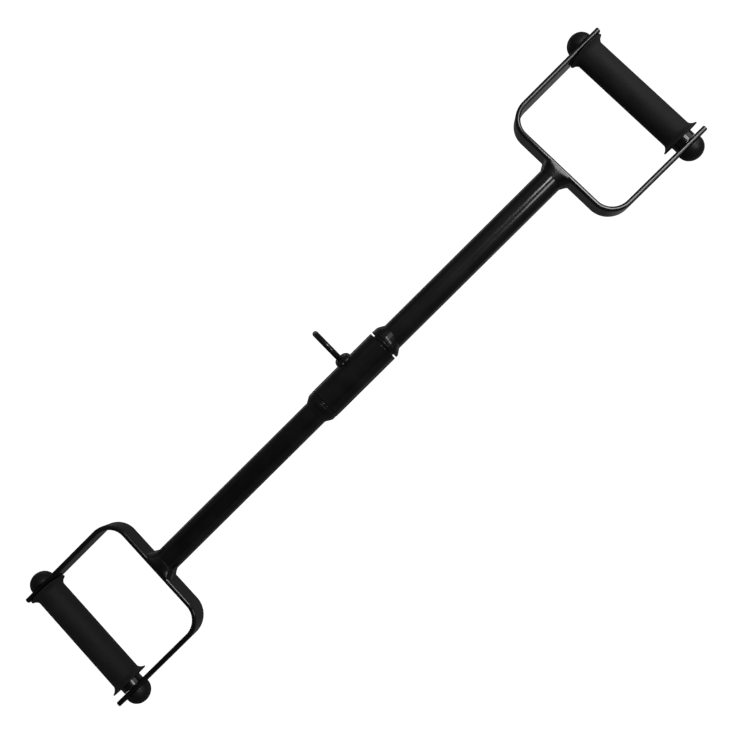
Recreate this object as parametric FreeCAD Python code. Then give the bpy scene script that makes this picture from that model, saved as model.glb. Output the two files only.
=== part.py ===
"""Revolving pulldown and pull-up bar with a rubber-gripped stirrup handle at each end.

Row frame, in millimetres:
  origin  centre of the eye's opening, where the cable's hook pulls
  +X      along the bar, from the left handle to the right handle
  +Z      up the cable, from the bar to the eye
  +Y      away from the user, square to the stirrups
"""

import FreeCAD, Part
import math
import os

V = FreeCAD.Vector

# ---------------------------------------------------------------- driving dimensions

# Straight bar and its revolving hanger.
SHAFT_D = 25.4              # one-inch solid round bar
SLEEVE_D = 33.7             # one-inch nominal pipe
SLEEVE_WALL = 2.4
SLEEVE_LENGTH = 77.4
BUSH_LENGTH = 18.0
BUSH_INSET = 2.0            # each bush sits this far inside its end of the sleeve
LEFT_END_FLOAT = 0.3        # free space between the sleeve and the left collar
RIGHT_END_FLOAT = 1.6       # free space between the sleeve and the right collar
BAR_MIDDLE_X = 1.5          # the bar's middle, counted from the sleeve's
COLLAR_D = 33.6
COLLAR_WIDTH = 2.5          # a thick washer
COLLAR_WELD_D = 33.0
COLLAR_WELD_CREST = {"left": 5.0, "right": 2.2}     # full-height part of the weld, from the washer
COLLAR_WELD_TOE = {"left": 11.5, "right": 8.4}      # whole length of the weld, from the washer

# Eye that the cable's hook goes through.
EYE_ROD_D = 6.0
EYE_OUTER_D = 41.5
EYE_TWIST = 4.0             # degrees, the ring stands this far from square to the bar
EYE_SINK = 0.5              # how far the ring is let into the top of the sleeve
EYE_WELD_LEFT = 8.0         # reach of the weld along the bar, each side of the ring
EYE_WELD_RIGHT = 10.5
EYE_WELD_HEIGHT = 6.0

# Stirrups, bent the easy way from flat bar.
FLAT_WIDTH = 25.0
FLAT_THICKNESS = 5.0
FLAT_EDGE_R = 2.2           # round-edged flat
STIRRUP_SPAN = 141.0        # over the outsides of the two arms
STIRRUP_CORNER_R = 24.0     # outside of the bend
BAR_HALF_LENGTH = 270.5     # bar's middle to the outside of a stirrup's base
GRIP_OFFSET = 102.5         # outside of the base to the grip's axis
ARM_OVERHANG = 18.0         # grip's axis to the square end of the arm
STIRRUP_WELD_REACH = 9.0    # along the shaft
STIRRUP_WELD_RISE = 6.0     # up the flat bar
STIRRUP_WELD_SIDE = 0.9     # weld standing past the flat bar's edges

# Grips and their through bolts.
BOLT_D = 10.0
BOLT_HOLE_D = 10.5
HEX_ACROSS_FLATS = 16.0
BOLT_HEAD_HEIGHT = 6.4
NUT_HEIGHT = 6.0
BOLT_END_PROUD = 1.5
TUBE_D = 22.2
TUBE_WALL = 1.6
GRIP_END_GAP = 0.4          # between the turning grip and each arm
GRIP_BUSH_LENGTH = 14.0
RUBBER_D = 28.5
RUBBER_FLANGE_D = 40.0
RUBBER_FLARE_LENGTH = 6.0
RUBBER_RIM = 1.0            # thickness of the flange at its rim
RUBBER_TOP_BARE = 0.6       # tube left bare above the rubber
RUBBER_BOTTOM_BARE = 5.8    # tube left bare below the rubber
DOME_D = 25.4
DOME_CENTRE_OUT = 0.6       # dome's centre outside the arm's outer face
DOME_ROOF = 0.5             # air above the bolt's end or head

RUNNING_FIT = 0.05          # radial clearance of every turning fit

# ---------------------------------------------------------------- worked-out values

SHAFT_R = SHAFT_D / 2
SLEEVE_R = SLEEVE_D / 2
SLEEVE_BORE_R = SLEEVE_R - SLEEVE_WALL
COLLAR_R = COLLAR_D / 2
EYE_ROD_R = EYE_ROD_D / 2
EYE_MEAN_R = EYE_OUTER_D / 2 - EYE_ROD_R
AXIS_Z = -(SLEEVE_R - EYE_SINK + EYE_OUTER_D / 2)

SLEEVE_X0 = -SLEEVE_LENGTH / 2
SLEEVE_X1 = SLEEVE_LENGTH / 2
COLLAR_X_LEFT = SLEEVE_X0 - LEFT_END_FLOAT
COLLAR_X_RIGHT = SLEEVE_X1 + RIGHT_END_FLOAT

ARM_LENGTH = GRIP_OFFSET + ARM_OVERHANG
ARM_OUTER = STIRRUP_SPAN / 2
ARM_INNER = ARM_OUTER - FLAT_THICKNESS
GRIP_TOP = ARM_INNER - GRIP_END_GAP
GRIP_BOTTOM = -GRIP_TOP
RUBBER_TOP = GRIP_TOP - RUBBER_TOP_BARE
RUBBER_BOTTOM = GRIP_BOTTOM + RUBBER_BOTTOM_BARE
TUBE_BORE_R = TUBE_D / 2 - TUBE_WALL

SIDES = {"left": -1, "right": 1}
ENDS = {"upper": 1, "lower": -1}


# ---------------------------------------------------------------- small helpers

def base_x(side):
    """X of the outside of a stirrup's base, where the shaft is welded to it."""
    return BAR_MIDDLE_X + side * BAR_HALF_LENGTH


def grip_x(side):
    """X of a grip's axis."""
    return base_x(side) + side * GRIP_OFFSET


def rod_along_x(radius, x_from, x_to):
    """Round solid on the bar's axis between two X positions."""
    start = V(min(x_from, x_to), 0, AXIS_Z)
    return Part.makeCylinder(radius, abs(x_to - x_from), start, V(1, 0, 0))


def rod_along_z(radius, x, z_from, z_to):
    """Upright round solid; z is counted from the bar's axis."""
    start = V(x, 0, AXIS_Z + min(z_from, z_to))
    return Part.makeCylinder(radius, abs(z_to - z_from), start, V(0, 0, 1))


def hexagon(across_flats, height, x, z, up):
    """Hexagonal prism standing from z (counted from the bar's axis) up or down."""
    corner_r = across_flats / math.sqrt(3)
    corners = []
    for i in range(7):
        turn = math.radians(60 * i)
        corners.append(V(x + corner_r * math.cos(turn), corner_r * math.sin(turn), AXIS_Z + z))
    face = Part.Face(Part.makePolygon(corners))
    return face.extrude(V(0, 0, up * height))


def spun_about_bar(profile, turn=360.0, turn_from=0.0):
    """Spin a closed (x, radius) outline about the bar's axis."""
    points = [V(x, 0, AXIS_Z + radius) for x, radius in profile]
    face = Part.Face(Part.makePolygon(points + [points[0]]))
    centre = V(0, 0, AXIS_Z)
    face.rotate(centre, V(1, 0, 0), turn_from)
    return face.revolve(centre, V(1, 0, 0), turn)


def solid_of(shape):
    """The one solid inside a cut or joined shape."""
    if len(shape.Solids) != 1:
        raise ValueError("expected one solid, found %d" % len(shape.Solids))
    return shape.Solids[0]


# ---------------------------------------------------------------- hanger

def hanger_sleeve():
    """Short pipe that turns on the middle of the bar."""
    outside = rod_along_x(SLEEVE_R, SLEEVE_X0, SLEEVE_X1)
    bore = rod_along_x(SLEEVE_BORE_R, SLEEVE_X0 - 1, SLEEVE_X1 + 1)
    pipe = solid_of(outside.cut(bore))
    rims = [edge for edge in pipe.Edges if is_circle(edge, SLEEVE_R)]
    return solid_of(pipe.makeFillet(0.5, rims))


def is_circle(edge, radius):
    """True for a round edge of the given radius."""
    curve = edge.Curve
    return isinstance(curve, Part.Circle) and abs(curve.Radius - radius) < 1e-6


def sleeve_bush(side):
    """Plain bush inside one end of the sleeve."""
    outer_end = SLEEVE_X0 + BUSH_INSET if side < 0 else SLEEVE_X1 - BUSH_INSET
    inner_end = outer_end - side * BUSH_LENGTH
    outside = rod_along_x(SLEEVE_BORE_R, outer_end, inner_end)
    bore = rod_along_x(SHAFT_R + RUNNING_FIT, outer_end + side, inner_end - side)
    return solid_of(outside.cut(bore))


def eye_ring():
    """Full ring of round rod, nearly square to the bar."""
    twist = math.radians(EYE_TWIST)
    return Part.makeTorus(EYE_MEAN_R, EYE_ROD_R, V(0, 0, 0), V(math.cos(twist), math.sin(twist), 0))


def hanger_eye():
    """The ring, cut where it sits down on the sleeve."""
    return solid_of(eye_ring().cut(rod_along_x(SLEEVE_R, SLEEVE_X0, SLEEVE_X1)))


def hanger_eye_weld():
    """Heap of weld round the ring's foot, following the sleeve's curve."""
    shoulder_r = SLEEVE_R + EYE_WELD_HEIGHT
    root_r = SLEEVE_R - 1
    profile = [
        (-EYE_WELD_LEFT, root_r),
        (-EYE_WELD_LEFT, SLEEVE_R + 0.6),
        (-EYE_WELD_LEFT * 0.72, SLEEVE_R + EYE_WELD_HEIGHT * 0.43),
        (-EYE_WELD_LEFT * 0.45, shoulder_r),
        (EYE_WELD_RIGHT * 0.42, shoulder_r),
        (EYE_WELD_RIGHT * 0.79, SLEEVE_R + EYE_WELD_HEIGHT * 0.6),
        (EYE_WELD_RIGHT, SLEEVE_R + 0.8),
        (EYE_WELD_RIGHT, root_r),
    ]
    heap = spun_about_bar(profile, 70, -35)
    plan = rod_along_z(EYE_WELD_RIGHT, 0, 0, SLEEVE_R + 2 * EYE_WELD_HEIGHT)
    heap = heap.common(plan)
    heap = heap.cut(rod_along_x(SLEEVE_R, SLEEVE_X0, SLEEVE_X1))
    return solid_of(heap.cut(eye_ring()))


# ---------------------------------------------------------------- bar

def shaft():
    """Solid round bar from one stirrup's base to the other's."""
    return rod_along_x(SHAFT_R, base_x(-1), base_x(1))


def collar(side):
    """Plain ring that keeps the sleeve in the middle of the bar."""
    inner_face = COLLAR_X_LEFT if side < 0 else COLLAR_X_RIGHT
    outside = rod_along_x(COLLAR_R, inner_face, inner_face + side * COLLAR_WIDTH)
    ring = solid_of(outside.cut(shaft()))
    rims = [edge for edge in ring.Edges if is_circle(edge, COLLAR_R)]
    return solid_of(ring.makeFillet(0.5, rims))


def collar_weld(name, side):
    """Heavy weld that runs round the bar outside the collar."""
    root_x = COLLAR_X_LEFT if side < 0 else COLLAR_X_RIGHT
    root_x += side * COLLAR_WIDTH
    crest_x = root_x + side * COLLAR_WELD_CREST[name]
    toe_x = root_x + side * COLLAR_WELD_TOE[name]
    top_r = COLLAR_WELD_D / 2
    drop = top_r - SHAFT_R
    profile = [
        (root_x, SHAFT_R),
        (root_x, top_r),
        (crest_x, top_r),
        (crest_x * 0.5 + toe_x * 0.5, SHAFT_R + drop * 0.58),
        (toe_x, SHAFT_R),
    ]
    return solid_of(spun_about_bar(profile))


def stirrup_blank(side):
    """Flat bar bent twice into a U, before drilling."""
    foot = base_x(side)
    tip = foot + side * ARM_LENGTH
    inner_r = STIRRUP_CORNER_R - FLAT_THICKNESS
    bend_x = foot + side * STIRRUP_CORNER_R
    bend_z = ARM_OUTER - STIRRUP_CORNER_R
    outer = bent_line(foot, tip, bend_x, bend_z, STIRRUP_CORNER_R, side)
    inner = bent_line(foot + side * FLAT_THICKNESS, tip, bend_x, bend_z, inner_r, side)
    upper_end = line(tip, ARM_OUTER, tip, ARM_INNER)
    lower_end = line(tip, -ARM_OUTER, tip, -ARM_INNER)
    edges = Part.__sortEdges__(outer + [upper_end, lower_end] + inner)
    outline = Part.Face(Part.Wire(edges))
    blank = outline.extrude(V(0, FLAT_WIDTH, 0))
    blank.translate(V(0, -FLAT_WIDTH / 2, 0))
    long_edges = [edge for edge in blank.Edges if is_long_edge(edge)]
    return blank.makeFillet(FLAT_EDGE_R, long_edges)


def line(x_from, z_from, x_to, z_to):
    """Straight edge in the stirrup's plane; z is counted from the bar's axis."""
    return Part.makeLine(V(x_from, 0, AXIS_Z + z_from), V(x_to, 0, AXIS_Z + z_to))


def bent_line(foot, tip, bend_x, bend_z, radius, side):
    """One face of the stirrup seen edge-on: arm, bend, base, bend, arm."""
    arm_z = bend_z + radius
    diagonal = radius * math.sqrt(0.5)
    edges = [
        line(tip, arm_z, bend_x, arm_z),
        line(foot, bend_z, foot, -bend_z),
        line(tip, -arm_z, bend_x, -arm_z),
    ]
    for up in ENDS.values():
        start = V(bend_x, 0, AXIS_Z + up * arm_z)
        middle = V(bend_x - side * diagonal, 0, AXIS_Z + up * (bend_z + diagonal))
        end = V(foot, 0, AXIS_Z + up * bend_z)
        edges.append(Part.Arc(start, middle, end).toShape())
    return edges


def is_long_edge(edge):
    """True for an edge that runs along the flat bar, not across it."""
    box = edge.BoundBox
    return box.YLength < 1e-6 and abs(edge.CenterOfMass.y) > FLAT_WIDTH / 2 - 1e-6 and edge.Length > 10


def stirrup(side):
    """Bent flat bar with a bolt hole through both arms."""
    holes = rod_along_z(BOLT_HOLE_D / 2, grip_x(side), -ARM_OUTER - 1, ARM_OUTER + 1)
    return solid_of(stirrup_blank(side).cut(holes))


def stirrup_weld(side):
    """Fillet weld round the shaft's end, filling in over the flat bar's rounded edges."""
    root_x = base_x(side)
    rise = STIRRUP_WELD_RISE
    reach = STIRRUP_WELD_REACH
    filled_x = root_x + side * FLAT_EDGE_R
    profile = [
        (filled_x, 0),
        (filled_x, SHAFT_R + rise),
        (root_x, SHAFT_R + rise),
        (root_x - side * reach * 0.32, SHAFT_R + rise * 0.62),
        (root_x - side * reach * 0.66, SHAFT_R + rise * 0.29),
        (root_x - side * reach, SHAFT_R),
        (root_x - side * reach, 0),
    ]
    bead = spun_about_bar(profile)
    half_width = FLAT_WIDTH / 2 + STIRRUP_WELD_SIDE
    corner = V(min(filled_x, root_x - side * reach), -half_width, AXIS_Z - 2 * SHAFT_R)
    trim = Part.makeBox(reach + FLAT_EDGE_R, 2 * half_width, 4 * SHAFT_R, corner)
    bead = bead.common(trim).cut(shaft())
    return solid_of(bead.cut(stirrup_blank(side)))


# ---------------------------------------------------------------- through bolts and domes

def grip_bolt(side):
    """Hexagon-headed bolt, head on the upper arm."""
    x = grip_x(side)
    end_z = -(ARM_OUTER + NUT_HEIGHT + BOLT_END_PROUD)
    shank = rod_along_z(BOLT_D / 2, x, end_z, ARM_OUTER)
    head = hexagon(HEX_ACROSS_FLATS, BOLT_HEAD_HEIGHT, x, ARM_OUTER, 1)
    return solid_of(shank.fuse(head).removeSplitter())


def grip_nut(side):
    """Lock nut on the lower arm."""
    x = grip_x(side)
    blank = hexagon(HEX_ACROSS_FLATS, NUT_HEIGHT, x, -ARM_OUTER, -1)
    thread = rod_along_z(BOLT_D / 2, x, -ARM_OUTER + 1, -ARM_OUTER - NUT_HEIGHT - 1)
    return solid_of(blank.cut(thread))


def dome(side, end, pocket_height, bolt_end):
    """Ball-shaped cap pushed over a bolt's head or nut, flat against the arm."""
    x = grip_x(side)
    radius = DOME_D / 2
    centre = V(x, 0, AXIS_Z + end * (ARM_OUTER + DOME_CENTRE_OUT))
    ball = Part.makeSphere(radius, centre)
    keep = rod_along_z(2 * radius, x, end * ARM_OUTER, end * (ARM_OUTER + 2 * radius))
    pocket = hexagon(HEX_ACROSS_FLATS, pocket_height, x, end * ARM_OUTER, end)
    cap = ball.common(keep).cut(pocket)
    if bolt_end > pocket_height:
        well_end = end * (ARM_OUTER + bolt_end + DOME_ROOF)
        cap = cap.cut(rod_along_z(BOLT_D / 2 + DOME_ROOF, x, end * ARM_OUTER, well_end))
    return solid_of(cap)


def bolt_cap(side):
    """Dome over the bolt's head."""
    return dome(side, 1, BOLT_HEAD_HEIGHT, 0)


def nut_cap(side):
    """Dome over the nut and the bolt's end."""
    return dome(side, -1, NUT_HEIGHT, NUT_HEIGHT + BOLT_END_PROUD)


# ---------------------------------------------------------------- turning grips

def grip_tube(side):
    """Steel tube that turns on the bolt, almost as long as the gap between the arms."""
    x = grip_x(side)
    outside = rod_along_z(TUBE_D / 2, x, GRIP_BOTTOM, GRIP_TOP)
    return solid_of(outside.cut(rod_along_z(TUBE_BORE_R, x, GRIP_BOTTOM - 1, GRIP_TOP + 1)))


def grip_bush(side, end):
    """Plain bush in one end of the grip tube."""
    x = grip_x(side)
    inner_end = end * (GRIP_TOP - GRIP_BUSH_LENGTH)
    outside = rod_along_z(TUBE_BORE_R, x, end * GRIP_TOP, inner_end)
    bore = rod_along_z(BOLT_D / 2 + RUNNING_FIT, x, end * (GRIP_TOP + 1), inner_end - end)
    return solid_of(outside.cut(bore))


def grip_rubber(side):
    """Moulded grip pushed on the tube, flaring to a thin round flange at each end."""
    x = grip_x(side)
    body_r = RUBBER_D / 2
    flange_r = RUBBER_FLANGE_D / 2
    flare_z = RUBBER_FLARE_LENGTH
    bow = 0.28

    def at(radius, z):
        return V(x + radius, 0, AXIS_Z + z)

    def flare(z_face, inward):
        """Concave edge from the flange's rim down to the grip's body."""
        rim_z = z_face + inward * RUBBER_RIM
        root_z = z_face + inward * flare_z
        rim = at(flange_r, rim_z)
        root = at(body_r, root_z)
        hollow = at(body_r + bow * (flange_r - body_r), rim_z + bow * (root_z - rim_z))
        return rim, Part.Arc(rim, hollow, root).toShape(), root

    top_rim, top_flare, top_root = flare(RUBBER_TOP, -1)
    low_rim, low_flare, low_root = flare(RUBBER_BOTTOM, 1)
    tube_r = TUBE_D / 2
    edges = [
        Part.makeLine(at(tube_r, RUBBER_TOP), at(flange_r, RUBBER_TOP)),
        Part.makeLine(at(flange_r, RUBBER_TOP), top_rim),
        top_flare,
        Part.makeLine(top_root, low_root),
        low_flare,
        Part.makeLine(low_rim, at(flange_r, RUBBER_BOTTOM)),
        Part.makeLine(at(flange_r, RUBBER_BOTTOM), at(tube_r, RUBBER_BOTTOM)),
        Part.makeLine(at(tube_r, RUBBER_BOTTOM), at(tube_r, RUBBER_TOP)),
    ]
    outline = Part.Face(Part.Wire(Part.__sortEdges__(edges)))
    return solid_of(outline.revolve(V(x, 0, 0), V(0, 0, 1), 360))


# ---------------------------------------------------------------- build and export

def build():
    """Every node of the part by name."""
    nodes = {
        "hanger_sleeve": hanger_sleeve(),
        "hanger_eye": hanger_eye(),
        "hanger_eye_weld": hanger_eye_weld(),
        "shaft": shaft(),
    }
    for name, side in SIDES.items():
        nodes["sleeve_bush_" + name] = sleeve_bush(side)
        nodes["collar_" + name] = collar(side)
        nodes["collar_weld_" + name] = collar_weld(name, side)
        nodes["stirrup_" + name] = stirrup(side)
        nodes["stirrup_weld_" + name] = stirrup_weld(side)
        nodes["grip_bolt_" + name] = grip_bolt(side)
        nodes["grip_nut_" + name] = grip_nut(side)
        nodes["bolt_cap_" + name] = bolt_cap(side)
        nodes["nut_cap_" + name] = nut_cap(side)
        nodes["grip_tube_" + name] = grip_tube(side)
        nodes["grip_rubber_" + name] = grip_rubber(side)
        for level, end in ENDS.items():
            nodes["grip_bush_%s_%s" % (name, level)] = grip_bush(side, end)
    return nodes


os.makedirs("parts", exist_ok=True)
for node, shape in build().items():
    shape.exportStep("parts/%s.step" % node)
    box = shape.BoundBox
    size = "%7.1f x %6.1f x %6.1f" % (box.XLength, box.YLength, box.ZLength)
    print("%-24s %s  valid=%s" % (node, size, shape.isValid()))
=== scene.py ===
import bmesh
import bpy
import math
from mathutils import Euler, Matrix, Vector, noise


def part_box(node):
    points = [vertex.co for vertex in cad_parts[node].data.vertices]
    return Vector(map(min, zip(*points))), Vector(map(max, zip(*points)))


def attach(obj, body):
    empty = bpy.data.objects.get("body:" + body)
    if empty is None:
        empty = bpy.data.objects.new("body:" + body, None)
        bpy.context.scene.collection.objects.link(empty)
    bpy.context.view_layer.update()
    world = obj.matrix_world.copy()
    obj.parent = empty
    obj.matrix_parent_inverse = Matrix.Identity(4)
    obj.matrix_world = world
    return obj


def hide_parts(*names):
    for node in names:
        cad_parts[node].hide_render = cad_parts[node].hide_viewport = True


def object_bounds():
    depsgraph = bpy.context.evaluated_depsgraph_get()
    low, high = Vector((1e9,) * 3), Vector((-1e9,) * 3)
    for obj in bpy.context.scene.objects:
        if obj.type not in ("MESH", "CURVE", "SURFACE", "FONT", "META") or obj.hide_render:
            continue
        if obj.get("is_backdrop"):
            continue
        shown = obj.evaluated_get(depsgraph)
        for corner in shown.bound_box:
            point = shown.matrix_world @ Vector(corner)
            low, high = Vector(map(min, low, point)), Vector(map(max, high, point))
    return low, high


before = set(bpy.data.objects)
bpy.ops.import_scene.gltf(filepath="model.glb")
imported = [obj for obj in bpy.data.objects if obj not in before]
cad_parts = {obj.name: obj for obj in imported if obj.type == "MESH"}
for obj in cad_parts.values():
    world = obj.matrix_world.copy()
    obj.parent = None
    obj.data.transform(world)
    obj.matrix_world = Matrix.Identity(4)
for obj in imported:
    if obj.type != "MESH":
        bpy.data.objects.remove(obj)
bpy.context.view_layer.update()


# ---------------------------------------------------------------- shaft
# A one-inch solid round bar, sawn to length and welded between the two stirrups. It is sprayed with gloss
# black powder and baked after all the welding is done, so the coat is one glassy skin, faintly rippled, a
# little thin on sharp edges, and has a few grains of dust in it.

coat_black = (0.0052, 0.0052, 0.0060, 1.0)
coat_black_thin = (0.0120, 0.0118, 0.0125, 1.0)
coat_edge_rub = (0.045, 0.044, 0.046, 1.0)
coat_edge_reach = 0.0006


def new_finish(name):
    """An empty node material with its shader wired to the output."""
    finish = bpy.data.materials.new(name)
    finish.use_nodes = True
    nodes = finish.node_tree.nodes
    shader = nodes["Principled BSDF"]
    return finish, nodes, finish.node_tree.links, shader


def on_the_piece(nodes, links, offset=(0.0, 0.0, 0.0), stretch=(1.0, 1.0, 1.0)):
    """Object coordinates, moved and stretched so that like pieces don't carry the same marks."""
    place = nodes.new("ShaderNodeTexCoord")
    mapping = nodes.new("ShaderNodeMapping")
    mapping.inputs["Location"].default_value = offset
    mapping.inputs["Scale"].default_value = stretch
    links.new(place.outputs["Object"], mapping.inputs["Vector"])
    return mapping.outputs["Vector"]


def grain(nodes, links, vector, scale, detail=2.0, roughness=0.5):
    """Noise on the piece; scale is in cells to the metre."""
    noise_node = nodes.new("ShaderNodeTexNoise")
    noise_node.inputs["Scale"].default_value = scale
    noise_node.inputs["Detail"].default_value = detail
    noise_node.inputs["Roughness"].default_value = roughness
    links.new(vector, noise_node.inputs["Vector"])
    return noise_node.outputs["Fac"]


def ranged(nodes, links, value, from_low, from_high, to_low, to_high):
    """A value carried from one range to another and held inside it."""
    node = nodes.new("ShaderNodeMapRange")
    node.inputs["From Min"].default_value = from_low
    node.inputs["From Max"].default_value = from_high
    node.inputs["To Min"].default_value = to_low
    node.inputs["To Max"].default_value = to_high
    links.new(value, node.inputs["Value"])
    return node.outputs["Result"]


def worked(nodes, links, operation, first, second):
    """Sum, product or another operation on two values, either of which may be a plain number."""
    node = nodes.new("ShaderNodeMath")
    node.operation = operation
    for socket, value in zip(node.inputs, (first, second)):
        if isinstance(value, (int, float)):
            socket.default_value = value
        else:
            links.new(value, socket)
    return node.outputs["Value"]


def tinted(nodes, links, amount, first, second):
    """Colour between two colours, either of which may be a socket."""
    node = nodes.new("ShaderNodeMix")
    node.data_type = "RGBA"
    links.new(amount, node.inputs["Factor"])
    for socket, colour in zip((node.inputs["A"], node.inputs["B"]), (first, second)):
        if isinstance(colour, tuple):
            socket.default_value = colour
        else:
            links.new(colour, socket)
    return node.outputs["Result"]


def sharp_edges(nodes, links, reach):
    """Strong on sharp edges and nothing on the flats."""
    bevel = nodes.new("ShaderNodeBevel")
    bevel.samples = 6
    bevel.inputs["Radius"].default_value = reach
    surface = nodes.new("ShaderNodeNewGeometry")
    dot = nodes.new("ShaderNodeVectorMath")
    dot.operation = "DOT_PRODUCT"
    links.new(bevel.outputs["Normal"], dot.inputs[0])
    links.new(surface.outputs["Normal"], dot.inputs[1])
    return ranged(nodes, links, dot.outputs["Value"], 0.99, 0.80, 0.0, 1.0)


def bumped(nodes, links, shader, height, distance):
    """Relief on the shader; distance is the relief's depth in metres."""
    bump = nodes.new("ShaderNodeBump")
    bump.inputs["Strength"].default_value = 1.0
    bump.inputs["Distance"].default_value = distance
    links.new(height, bump.inputs["Height"])
    links.new(bump.outputs["Normal"], shader.inputs["Normal"])


def powder_coat(name, offset, peel_depth=0.000008, gloss=0.10, edge_rub=0.5):
    """Gloss black powder coat, with its own patch of ripple, haze and dust for each piece."""
    finish, nodes, links, shader = new_finish(name)
    spot = on_the_piece(nodes, links, offset)
    thin = ranged(nodes, links, grain(nodes, links, spot, 42.0, 4.0), 0.42, 0.70, 0.0, 1.0)
    colour = tinted(nodes, links, thin, coat_black, coat_black_thin)
    rub_breaks = ranged(nodes, links, grain(nodes, links, spot, 260.0, 3.0), 0.38, 0.62, 0.0, edge_rub)
    rubbed = worked(nodes, links, "MULTIPLY", sharp_edges(nodes, links, coat_edge_reach), rub_breaks)
    links.new(tinted(nodes, links, rubbed, colour, coat_edge_rub), shader.inputs["Base Color"])
    haze = ranged(nodes, links, grain(nodes, links, spot, 75.0, 5.0, 0.6), 0.3, 0.7, 0.24, 0.36)
    rough = worked(nodes, links, "ADD", haze, worked(nodes, links, "MULTIPLY", rubbed, 0.18))
    links.new(rough, shader.inputs["Roughness"])
    shader.inputs["Coat Weight"].default_value = 0.85
    shader.inputs["Coat Roughness"].default_value = gloss
    shader.inputs["Coat IOR"].default_value = 1.5
    shader.inputs["Specular IOR Level"].default_value = 0.12

    peel = grain(nodes, links, spot, 520.0, 1.5, 0.4)
    swell = worked(nodes, links, "MULTIPLY", grain(nodes, links, spot, 120.0, 1.0, 0.4), 1.6)
    dust = nodes.new("ShaderNodeTexVoronoi")
    dust.inputs["Scale"].default_value = 240.0
    links.new(spot, dust.inputs["Vector"])
    nib = ranged(nodes, links, dust.outputs["Distance"], 0.055, 0.02, 0.0, 2.2)
    skin = worked(nodes, links, "ADD", worked(nodes, links, "ADD", peel, swell), nib)
    bumped(nodes, links, shader, skin, peel_depth)
    coat_normal = shader.inputs["Normal"].links[0].from_socket
    links.new(coat_normal, shader.inputs["Coat Normal"])
    return finish


def finish_node(node, finish):
    """Gives a CAD node its finish."""
    for material_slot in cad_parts[node].material_slots:
        material_slot.material = finish


finish_node("shaft", powder_coat("shaft_powder_coat", (0.13, 0.02, 0.07), peel_depth=0.000004, gloss=0.12))

shaft_low, shaft_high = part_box("shaft")
bar_axis_z = (shaft_low.z + shaft_high.z) / 2
shaft_radius = (shaft_high.z - shaft_low.z) / 2


# ---------------------------------------------------------------- revolving sleeve and its bushes
# A short piece of one-inch pipe, its sawn ends dressed, turning on two natural nylon bushes pressed flush
# inside it. It is coated with the bar.

finish_node("hanger_sleeve", powder_coat("sleeve_powder_coat", (-0.21, 0.11, 0.05), gloss=0.12))

sleeve_low, sleeve_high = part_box("hanger_sleeve")
sleeve_radius = (sleeve_high.z - sleeve_low.z) / 2


def bush_nylon():
    """Turned natural nylon: milky, waxy, with fine turning lines round the bore."""
    finish, nodes, links, shader = new_finish("turned_nylon")
    spot = on_the_piece(nodes, links)
    cloud = grain(nodes, links, spot, 160.0, 3.0)
    milk = tinted(nodes, links, cloud, (0.50, 0.48, 0.42, 1.0), (0.62, 0.61, 0.56, 1.0))
    links.new(milk, shader.inputs["Base Color"])
    links.new(ranged(nodes, links, cloud, 0.3, 0.7, 0.38, 0.55), shader.inputs["Roughness"])
    shader.inputs["Subsurface Weight"].default_value = 0.15
    shader.inputs["Subsurface Radius"].default_value = (0.002, 0.002, 0.0015)
    turning = on_the_piece(nodes, links, stretch=(1.0, 0.15, 1.0))
    bumped(nodes, links, shader, grain(nodes, links, turning, 2200.0, 1.0), 0.00001)
    return finish


nylon = bush_nylon()
for bush in ("sleeve_bush_left", "sleeve_bush_right"):
    finish_node(bush, nylon)


# ---------------------------------------------------------------- ring eye and the heap of weld at its foot
# A closed ring of 6 mm round rod stands on the sleeve, a few degrees from square to the bar, for the cable's
# hook. It is held by a short run of weld on each side of its foot, laid in overlapping puddles that the coat
# has rounded over.

finish_node("hanger_eye", powder_coat("eye_powder_coat", (0.31, -0.08, 0.22), gloss=0.10, edge_rub=0.0))

# Each side's run: its place along the bar, and the half-length and height of its puddles.
eye_puddles = ((-0.0020, 0.0049, 0.0060), (0.0025, 0.0076, 0.0060))
eye_puddle_half_width = 0.0040
eye_puddle_count = 9
eye_puddle_step = math.radians(7.0)
eye_puddle_lift = 0.0001         # puddles' middles above the sleeve's surface
eye_puddle_unevenness = 0.04
eye_puddle_taper = 0.035         # how fast a run dies away from its middle puddle
eye_weld_voxel = 0.00035
eye_weld_smoothing = 14
eye_twist = math.radians(4.0)    # the ring stands this far from square to the bar


def mesh_piece(name, shape):
    """Turns a finished bmesh into an object of the scene."""
    mesh = bpy.data.meshes.new(name)
    bmesh.ops.recalc_face_normals(shape, faces=shape.faces)
    shape.to_mesh(mesh)
    shape.free()
    for face in mesh.polygons:
        face.use_smooth = True
    piece = bpy.data.objects.new(name, mesh)
    bpy.context.scene.collection.objects.link(piece)
    return piece


def fused(piece, voxel, smoothing):
    """Runs overlapping lumps together into one skin and evens it out."""
    remesh = piece.modifiers.new("run_together", "REMESH")
    remesh.mode = "VOXEL"
    remesh.voxel_size = voxel
    remesh.use_smooth_shade = True
    relax = piece.modifiers.new("even_out", "SMOOTH")
    relax.factor = 0.5
    relax.iterations = smoothing
    bpy.context.view_layer.update()
    ready = piece.evaluated_get(bpy.context.evaluated_depsgraph_get())
    mesh = bpy.data.meshes.new_from_object(ready)
    piece.modifiers.clear()
    piece.data = mesh
    return piece


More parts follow.
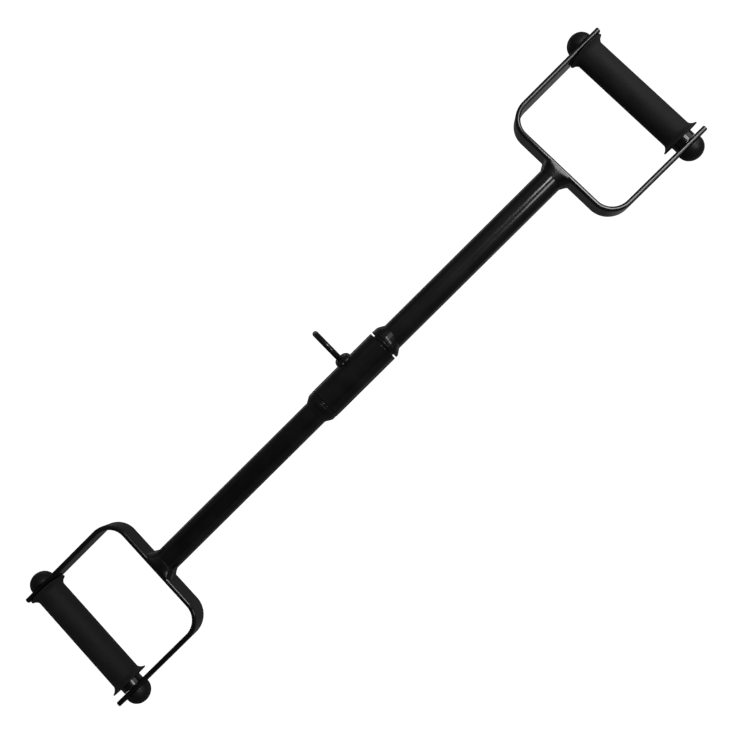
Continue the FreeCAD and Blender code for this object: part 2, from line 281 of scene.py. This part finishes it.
def eye_weld():
    """Two runs of weld puddles, one each side of the ring's foot, curving with the sleeve."""
    heap = bmesh.new()
    for place, reach, height in eye_puddles:
        for i in range(eye_puddle_count):
            from_middle = i - (eye_puddle_count - 1) / 2
            uneven = 1.0 + eye_puddle_unevenness * math.sin(2.3 * i + 200 * place)
            taper = 1.0 - eye_puddle_taper * from_middle ** 2
            length = reach * uneven * (0.5 + 0.5 * taper)
            size = Matrix.Diagonal((length, eye_puddle_half_width, height * uneven * taper, 1.0))
            lift = Matrix.Translation((place, 0.0, sleeve_radius + eye_puddle_lift))
            swing = Matrix.Rotation(-from_middle * eye_puddle_step, 4, "X")
            settle = Matrix.Translation((0.0, 0.0, bar_axis_z)) @ Matrix.Rotation(eye_twist, 4, "Z")
            bmesh.ops.create_icosphere(heap, subdivisions=4, radius=1.0, matrix=settle @ swing @ lift @ size)
    return fused(mesh_piece("eye_weld_run", heap), eye_weld_voxel, eye_weld_smoothing)


eye_weld_run = eye_weld()
weld_coat = powder_coat("weld_powder_coat", (0.07, 0.33, -0.12), peel_depth=0.00001, gloss=0.22, edge_rub=0.0)
eye_weld_run.data.materials.append(weld_coat)
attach(eye_weld_run, "hanger")
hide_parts("hanger_eye_weld")


# ---------------------------------------------------------------- stop collars and their welds
# A thick washer each side of the sleeve keeps it in the middle of the bar. Each is welded to the bar all the
# way round on its outer side, heavy at the washer and falling away in a cone with faint ripples. The right
# weld is laid crooked, and reaches furthest along the bar at its upper front.

for collar, offset in (("collar_left", (0.4, 0.1, 0.0)), ("collar_right", (-0.3, 0.2, 0.1))):
    finish_node(collar, powder_coat(collar + "_powder_coat", offset, gloss=0.12))


bead_ring_spacing = 0.0005
bead_steps_round = 216
bead_softening = 6          # passes that round the corners of a bead's outline
bead_wander = 0.9           # how unevenly the ripples are spaced
bead_swell = 1.6            # slow lumps, as a multiple of the ripples' depth
bead_lean_turn = math.pi / 4
bead_side_fullness = 0.8    # how much rounder a bead is where the flat bar's edge cuts it short


def bead_round_bar(name, outline, lean, ripples, depth, relaxing, half_width=None):
    """Closed ring of weld round the bar, evened out by a number of relaxing passes once it is rippled.

    outline is (x, radius, share) from the weld's root to its toe, where share is how much of the lean and the
    ripples a point takes. lean shifts the bead along the bar, most at the upper front. half_width, if given,
    flattens the front and back so that the bead keeps to the width of the flat bar and its side weld.
    """
    bead = bmesh.new()
    lean_share = bead.verts.layers.float.new("lean_share")
    smooth = [Vector(outline[0])]
    for first, second in zip(outline, outline[1:]):
        steps = max(1, round((Vector(second) - Vector(first)).xy.length / bead_ring_spacing))
        smooth += [Vector(first).lerp(Vector(second), i / steps) for i in range(1, steps + 1)]
    for _ in range(bead_softening):
        smooth[2:-1] = [(before + 2 * point + after) / 4
                        for before, point, after in zip(smooth[1:], smooth[2:-1], smooth[3:])]
    smooth.append(Vector((outline[0][0], outline[-1][1], 0.0)))
    ring = [bead.verts.new((x, 0.0, bar_axis_z + radius)) for x, radius, share in smooth]
    edges = [bead.edges.new(pair) for pair in zip(ring, ring[1:] + ring[:1])]
    for point, (x, radius, share) in zip(ring, smooth):
        point[lean_share] = share
    bmesh.ops.spin(bead, geom=ring + edges, cent=(0, 0, bar_axis_z), axis=(1, 0, 0), dvec=(0, 0, 0),
                   angle=math.tau, steps=bead_steps_round, use_merge=True)
    toe_radius = outline[-1][1]
    crest_radius = max(radius for x, radius, share in outline)
    for point in bead.verts:
        radius = math.hypot(point.co.y, point.co.z - bar_axis_z)
        turn = math.atan2(-point.co.y, point.co.z - bar_axis_z)
        share = point[lean_share]
        height = (radius - toe_radius) / (crest_radius - toe_radius)
        rise = min(1.0, 4.0 * height * share) if share > 0.0 else 0.0
        along = Vector((3.0 * math.cos(turn), 3.0 * math.sin(turn), point.co.x * 120.0))
        ripple_turn = turn * ripples + bead_wander * noise.noise(along) + share * 1.6
        scallop = abs(math.sin(ripple_turn / 2.0)) - 0.6
        swell = noise.noise(Vector((math.cos(turn) * 1.5, math.sin(turn) * 1.5, point.co.x * 90.0)))
        grown = radius + rise * depth * (scallop + bead_swell * swell)
        point.co.x += share * lean * math.cos(turn - bead_lean_turn)
        if half_width is not None:
            room = half_width / max(abs(math.sin(turn)), 1e-3) - shaft_radius
            full = crest_radius - shaft_radius
            squash = min(1.0, room / full)
            left_over = min(1.0, max(0.0, 1.0 - (grown - shaft_radius) / full))
            rounding = 1.0 + bead_side_fullness * (1.0 - squash)
            grown = shaft_radius + full * squash * (1.0 - left_over ** rounding)
        grown = max(grown, shaft_radius)
        point.co.y = -grown * math.sin(turn)
        point.co.z = bar_axis_z + grown * math.cos(turn)
    bmesh.ops.remove_doubles(bead, verts=bead.verts, dist=1e-7)
    for _ in range(relaxing):
        loose = [point for point in bead.verts if 0.0 < point[lean_share] < 1.0]
        bmesh.ops.smooth_vert(bead, verts=loose, factor=0.5,
                              use_axis_x=True, use_axis_y=True, use_axis_z=True)
    piece = mesh_piece(name, bead)
    piece.data.materials.append(weld_coat)
    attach(piece, "bar")
    return piece


collar_crest = {"left": 0.0050, "right": 0.0021}    # length of the weld's full-height part
collar_lean = {"left": 0.0, "right": 0.0036}
collar_ripple = {"left": 0.00006, "right": 0.00016}
collar_ripple_count = 24
collar_relaxing = 2
for hand, outward in (("left", -1), ("right", 1)):
    low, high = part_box("collar_weld_" + hand)
    root, toe = (high.x, low.x) if outward < 0 else (low.x, high.x)
    crest_radius = (high.z - low.z) / 2
    crest = root + outward * collar_crest[hand]
    outline = [(root, crest_radius, 0.0), (crest, crest_radius, 0.7), (toe, shaft_radius, 1.0)]
    bead = bead_round_bar("collar_weld_bead_" + hand, outline, collar_lean[hand], collar_ripple_count,
                          collar_ripple[hand], collar_relaxing)
    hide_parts("collar_weld_" + hand)


# ---------------------------------------------------------------- stirrups and their welds
# Hot-rolled flat bar, 25 by 5 mm with round edges, bent the easy way round a former into a U and drilled
# through both arms. The shaft is butted on the middle of the base and welded round. The bar is as thick as
# the flat is wide, so at the flat's two edges the weld fills the rounding and stands flush with the bar.

stirrup_weld_ripple_count = 22
stirrup_weld_ripple = 0.00018
stirrup_weld_relaxing = 8
stirrup_weld_belly = (0.38, 0.52)    # its middle point, as shares of the way to the toe and of the height

for hand, outward, offset in (("left", -1, (0.05, -0.4, 0.3)), ("right", 1, (-0.17, 0.09, -0.2))):
    coat = powder_coat("stirrup_powder_coat_" + hand, offset, peel_depth=0.000005, edge_rub=0.2)
    finish_node("stirrup_" + hand, coat)
    low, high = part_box("stirrup_weld_" + hand)
    filled, toe = (low.x, high.x) if outward < 0 else (high.x, low.x)
    base_low, base_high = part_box("stirrup_" + hand)
    face = base_high.x if outward < 0 else base_low.x
    top_radius = (high.z - low.z) / 2
    along, up = stirrup_weld_belly
    middle = (face * (1.0 - along) + toe * along, shaft_radius + (top_radius - shaft_radius) * up, 1.0)
    outline = [(filled, top_radius, 0.0), (face, top_radius, 0.4), middle, (toe, shaft_radius, 1.0)]
    bead = bead_round_bar("stirrup_weld_bead_" + hand, outline, 0.0, stirrup_weld_ripple_count,
                          stirrup_weld_ripple, stirrup_weld_relaxing, half_width=high.y)
    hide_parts("stirrup_weld_" + hand)


# ---------------------------------------------------------------- through bolts and lock nuts
# An M10 bolt goes down through both arms and the grip, with a lock nut below. Both are zinc plated, bright
# and slightly clouded. The ball caps and the grip hide them.

def zinc_plate():
    """Bright zinc with the mottled, faintly blue cloud of passivated plate."""
    finish, nodes, links, shader = new_finish("zinc_plate")
    spot = on_the_piece(nodes, links)
    cloud = grain(nodes, links, spot, 220.0, 5.0, 0.6)
    plate = tinted(nodes, links, cloud, (0.50, 0.52, 0.56, 1.0), (0.70, 0.70, 0.69, 1.0))
    links.new(plate, shader.inputs["Base Color"])
    links.new(ranged(nodes, links, cloud, 0.3, 0.7, 0.24, 0.42), shader.inputs["Roughness"])
    shader.inputs["Metallic"].default_value = 1.0
    bumped(nodes, links, shader, grain(nodes, links, spot, 1800.0, 2.0), 0.000012)
    return finish


zinc = zinc_plate()
for hand in ("left", "right"):
    finish_node("grip_bolt_" + hand, zinc)
    finish_node("grip_nut_" + hand, zinc)


# ---------------------------------------------------------------- grip tubes and their bushes
# A steel tube turns on the bolt on two nylon bushes. It is coated like the bar and shows only in the narrow
# gaps between the rubber and the arms.

for hand, offset in (("left", (0.6, 0.2, 0.2)), ("right", (0.1, 0.5, -0.4))):
    coat = powder_coat("tube_powder_coat_" + hand, offset, gloss=0.18, edge_rub=0.2)
    finish_node("grip_tube_" + hand, coat)
    for level in ("upper", "lower"):
        finish_node("grip_bush_%s_%s" % (hand, level), nylon)


# ---------------------------------------------------------------- rubber grips
# Moulded black rubber pushed over the tube: a plain straight barrel that flares at each end to a thin round
# flange with a soft lip. The skin is smooth and matte, with a cloudy bloom and very fine lengthwise streaks.

rubber_flange_radius = 0.0193
rubber_barrel_radius = 0.01425
rubber_flare = 0.0062
rubber_lip = 0.0008
rubber_flare_steps = 14
rubber_lip_steps = 6
rubber_steps_round = 128
flare_hollow = 0.5    # 0 for a straight cone, 1 for a full quarter round


def grip_rubber_skin(name, offset):
    """Matte moulded rubber with a very fine grain and cloudy bloom."""
    finish, nodes, links, shader = new_finish(name)
    spot = on_the_piece(nodes, links, offset)
    bloom = grain(nodes, links, spot, 55.0, 5.0, 0.6)
    patch = ranged(nodes, links, bloom, 0.35, 0.68, 0.0, 1.0)
    links.new(tinted(nodes, links, patch, (0.0165, 0.0165, 0.0172, 1.0), (0.0235, 0.0232, 0.0238, 1.0)),
              shader.inputs["Base Color"])
    links.new(ranged(nodes, links, bloom, 0.3, 0.7, 0.60, 0.72), shader.inputs["Roughness"])
    shader.inputs["Specular IOR Level"].default_value = 0.22
    shader.inputs["Sheen Weight"].default_value = 0.04
    shader.inputs["Sheen Roughness"].default_value = 0.5
    fine = grain(nodes, links, spot, 2600.0, 2.0)
    drawn = on_the_piece(nodes, links, offset, (1.0, 1.0, 0.06))
    streaks = grain(nodes, links, drawn, 700.0, 2.0)
    relief = worked(nodes, links, "ADD", fine, worked(nodes, links, "MULTIPLY", streaks, 0.8))
    bumped(nodes, links, shader, relief, 0.00003)
    return finish


def rubber_outline(low, high, bore_radius):
    """Closed (radius, z) outline of one grip, cut through one side."""
    outline = [(bore_radius, high)]
    for end, inward in ((high, -1), (low, 1)):
        lip = []
        for i in range(rubber_lip_steps + 1):
            turn = math.pi / 2 - math.pi * i / rubber_lip_steps
            lip.append((rubber_flange_radius - rubber_lip + rubber_lip * math.cos(turn),
                        end + inward * (rubber_lip - rubber_lip * math.sin(turn))))
        flare = []
        rise = rubber_flange_radius - rubber_lip - rubber_barrel_radius
        run = rubber_flare - 2 * rubber_lip
        for i in range(1, rubber_flare_steps + 1):
            done = i / rubber_flare_steps
            turn = math.pi / 2 * done
            inwards = done + flare_hollow * (math.sin(turn) - done)
            downwards = done + flare_hollow * (1 - math.cos(turn) - done)
            flare.append((rubber_flange_radius - rubber_lip - rise * inwards,
                          end + inward * (2 * rubber_lip + run * downwards)))
        part = lip + flare
        outline += part if inward < 0 else part[::-1]
    outline.append((bore_radius, low))
    return outline


def spun_upright(name, outline, x, steps):
    """Spins a closed (radius, z) outline about the upright axis of a grip and its bolt."""
    body = bmesh.new()
    points = [body.verts.new((x + radius, 0.0, z)) for radius, z in outline]
    edges = [body.edges.new(pair) for pair in zip(points, points[1:] + points[:1])]
    bmesh.ops.spin(body, geom=points + edges, cent=(x, 0, 0), axis=(0, 0, 1), dvec=(0, 0, 0),
                   angle=math.tau, steps=steps, use_merge=True)
    bmesh.ops.remove_doubles(body, verts=body.verts, dist=1e-7)
    return mesh_piece(name, body)


def grip_axis(hand):
    """X of a grip's axis."""
    low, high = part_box("grip_tube_" + hand)
    return (low.x + high.x) / 2


for hand, offset in (("left", (0.2, 0.1, 0.4)), ("right", (-0.3, 0.3, 0.1))):
    low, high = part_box("grip_rubber_" + hand)
    tube_low, tube_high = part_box("grip_tube_" + hand)
    outline = rubber_outline(low.z, high.z, (tube_high.y - tube_low.y) / 2)
    rubber = spun_upright("rubber_grip_" + hand, outline, grip_axis(hand), rubber_steps_round)
    rubber.data.materials.append(grip_rubber_skin("rubber_skin_" + hand, offset))
    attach(rubber, hand + "_grip")
    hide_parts("grip_rubber_" + hand)


# ---------------------------------------------------------------- ball-shaped caps
# Moulded plastic, a little over half a ball each, pushed over the bolt's head and nut and sitting flat on the
# arm. Matte black with a soft shine and a thin turned-in foot.

cap_wall = 0.0011
cap_foot_inner_lip = 0.0003
cap_foot_outer_lip = 0.0005
cap_outer_steps = 32
cap_inner_steps = 23
cap_steps_round = 96


def cap_plastic(name, offset):
    """Matte moulded plastic, faintly mottled."""
    finish, nodes, links, shader = new_finish(name)
    spot = on_the_piece(nodes, links, offset)
    mottle = grain(nodes, links, spot, 140.0, 4.0)
    links.new(tinted(nodes, links, mottle, (0.0075, 0.0075, 0.0085, 1.0), (0.0125, 0.0122, 0.0130, 1.0)),
              shader.inputs["Base Color"])
    links.new(ranged(nodes, links, mottle, 0.3, 0.7, 0.40, 0.50), shader.inputs["Roughness"])
    shader.inputs["Specular IOR Level"].default_value = 0.35
    bumped(nodes, links, shader, grain(nodes, links, spot, 2000.0, 2.0), 0.00002)
    return finish


def ball_cap(name, node, up):
    """Hollow ball cap standing on an arm, open underneath; up is 1 on the upper arm and -1 on the lower."""
    low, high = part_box(node)
    x = (low.x + high.x) / 2
    foot = low.z if up > 0 else high.z
    radius = (high.x - low.x) / 2
    centre = foot + up * ((high.z - low.z) - radius)
    start = -math.asin(abs(centre - foot) / radius)
    outline = []
    for i in range(cap_outer_steps + 1):
        turn = start + (math.pi / 2 - start) * i / cap_outer_steps
        outline.append((radius * math.cos(turn), centre + up * radius * math.sin(turn)))
    inner = radius - cap_wall
    for i in range(cap_inner_steps + 1):
        turn = math.pi / 2 * (1 - i / cap_inner_steps)
        outline.append((inner * math.cos(turn), centre + up * inner * math.sin(turn)))
    outline.append((inner - cap_foot_inner_lip, foot))
    outline.append((radius * math.cos(start) - cap_foot_outer_lip, foot))
    return spun_upright(name, outline, x, cap_steps_round)


for hand, offset in (("left", (0.1, 0.3, 0.2)), ("right", (0.4, -0.2, 0.5))):
    plastic = cap_plastic("ball_cap_plastic_" + hand, offset)
    for node, up in (("bolt_cap_" + hand, 1), ("nut_cap_" + hand, -1)):
        cap = ball_cap(node + "_ball", node, up)
        cap.data.materials.append(plastic)
        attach(cap, "bar")
        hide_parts(node)


# ---------------------------------------------------------------- floor and studio
# The bar hangs over a plain white floor in a round white room. Two soft boxes light it from the front right,
# one level with it and one below, with weaker ones behind it and off its right end. Grey screens before and
# behind it, seen only in the coat, lift the black a little on the right.

floor_z = -1.1
floor_half_width = 8.0
room_radius = 9.0
screen_half_width = 3.0
paper_glow = 1.0


def white_paper(name, brightness):
    """White paper that stays white, lit or not."""
    finish, _, _, shader = new_finish(name)
    shader.inputs["Base Color"].default_value = (0.9, 0.9, 0.9, 1.0)
    shader.inputs["Roughness"].default_value = 0.9
    shader.inputs["Emission Color"].default_value = (1.0, 1.0, 1.0, 1.0)
    shader.inputs["Emission Strength"].default_value = brightness
    return finish


def studio_floor():
    """Wide flat floor well below the bar."""
    sheet = bmesh.new()
    bmesh.ops.create_grid(sheet, x_segments=4, y_segments=4, size=floor_half_width,
                          matrix=Matrix.Translation((0, 0, floor_z)))
    floor = mesh_piece("studio_floor", sheet)
    floor.data.materials.append(white_paper("white_floor", paper_glow))
    floor.visible_diffuse = False
    floor.visible_glossy = False
    floor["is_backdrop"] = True


def studio_walls():
    """Round white room far behind everything, seen by the camera and lighting nothing."""
    room = bmesh.new()
    bmesh.ops.create_icosphere(room, subdivisions=4, radius=room_radius)
    walls = mesh_piece("studio_walls", room)
    walls.data.materials.append(white_paper("white_walls", paper_glow))
    walls.visible_diffuse = False
    walls.visible_glossy = False
    walls.visible_shadow = False
    walls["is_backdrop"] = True


def dim_screen(name, y, towards, dark, bright, start, end):
    """Upright screen seen only in the coat, dark at start and bright at end, both measured along towards."""
    sheet = bmesh.new()
    upright = Matrix.Translation((0, y, 0)) @ Matrix.Rotation(math.pi / 2, 4, "X")
    bmesh.ops.create_grid(sheet, x_segments=2, y_segments=2, size=screen_half_width, matrix=upright)
    screen = mesh_piece(name, sheet)
    finish, nodes, links, shader = new_finish(name)
    shader.inputs["Base Color"].default_value = (0.0, 0.0, 0.0, 1.0)
    shader.inputs["Specular IOR Level"].default_value = 0.0
    shader.inputs["Emission Color"].default_value = (1.0, 1.0, 1.0, 1.0)
    spot = on_the_piece(nodes, links)
    dot = nodes.new("ShaderNodeVectorMath")
    dot.operation = "DOT_PRODUCT"
    dot.inputs[1].default_value = Vector(towards).normalized()
    links.new(spot, dot.inputs[0])
    glow = ranged(nodes, links, dot.outputs["Value"], start, end, dark, bright)
    links.new(glow, shader.inputs["Emission Strength"])
    screen.data.materials.append(finish)
    screen.visible_camera = False
    screen.visible_diffuse = False
    screen.visible_shadow = False
    screen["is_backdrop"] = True


studio_floor()
studio_walls()
dim_screen("back_screen", 1.6, (1.0, 0.0, -0.4), 0.06, 0.18, 0.2, 1.1)
dim_screen("front_screen", -1.7, (1.0, 0.0, 0.15), 0.035, 0.17, -0.5, 0.5)

world = bpy.data.worlds.new("dim_room")
world.use_nodes = True
world.node_tree.nodes["Background"].inputs["Color"].default_value = (1.0, 1.0, 1.0, 1.0)
world.node_tree.nodes["Background"].inputs["Strength"].default_value = 0.08
bpy.context.scene.world = world


def soft_box(name, place, facing, width, height, radiance):
    """Rectangular soft light at a place, facing a direction, as bright as radiance says whatever its size."""
    lamp = bpy.data.lights.new(name, "AREA")
    lamp.shape = "RECTANGLE"
    lamp.size = width
    lamp.size_y = height
    lamp.energy = radiance * math.pi * width * height
    light = bpy.data.objects.new(name, lamp)
    light.location = place
    light.rotation_euler = Vector(facing).to_track_quat("-Z", "Z").to_euler()
    light.visible_camera = False
    bpy.context.scene.collection.objects.link(light)


soft_box("upper_box", (1.00, -1.5, 0.05), (0, 1, 0), 0.76, 0.30, 12.0)
soft_box("lower_box", (1.00, -1.5, -0.92), (0, 1, 0), 0.76, 0.52, 6.0)
soft_box("back_box", (0.0, 1.8, 1.6), (0, -1, -0.9), 2.4, 1.0, 0.9)
soft_box("back_low_box", (-0.4, 1.8, -1.6), (0, -1, 0.9), 2.4, 0.8, 0.6)
soft_box("side_box", (1.15, -0.5, 0.05), (-1, 0.45, 0), 0.6, 0.6, 1.2)


# ---------------------------------------------------------------- camera
# Close in front of the bar and a little below it, tipped over so that the bar runs up to the right.

camera_place = (0.0527, -0.7597, -0.1199)
camera_turn = (98.087, 44.169, 8.610)    # degrees about X, Y and Z

camera = bpy.data.cameras.new("camera")
camera.lens = 38.51
camera.sensor_width = 36.0
viewer = bpy.data.objects.new("camera", camera)
viewer.location = camera_place
viewer.rotation_euler = Euler([math.radians(angle) for angle in camera_turn], "XYZ")
bpy.context.scene.collection.objects.link(viewer)
bpy.context.scene.camera = viewer
bpy.context.scene.view_settings.view_transform = "Standard"

bpy.context.view_layer.update()
low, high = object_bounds()
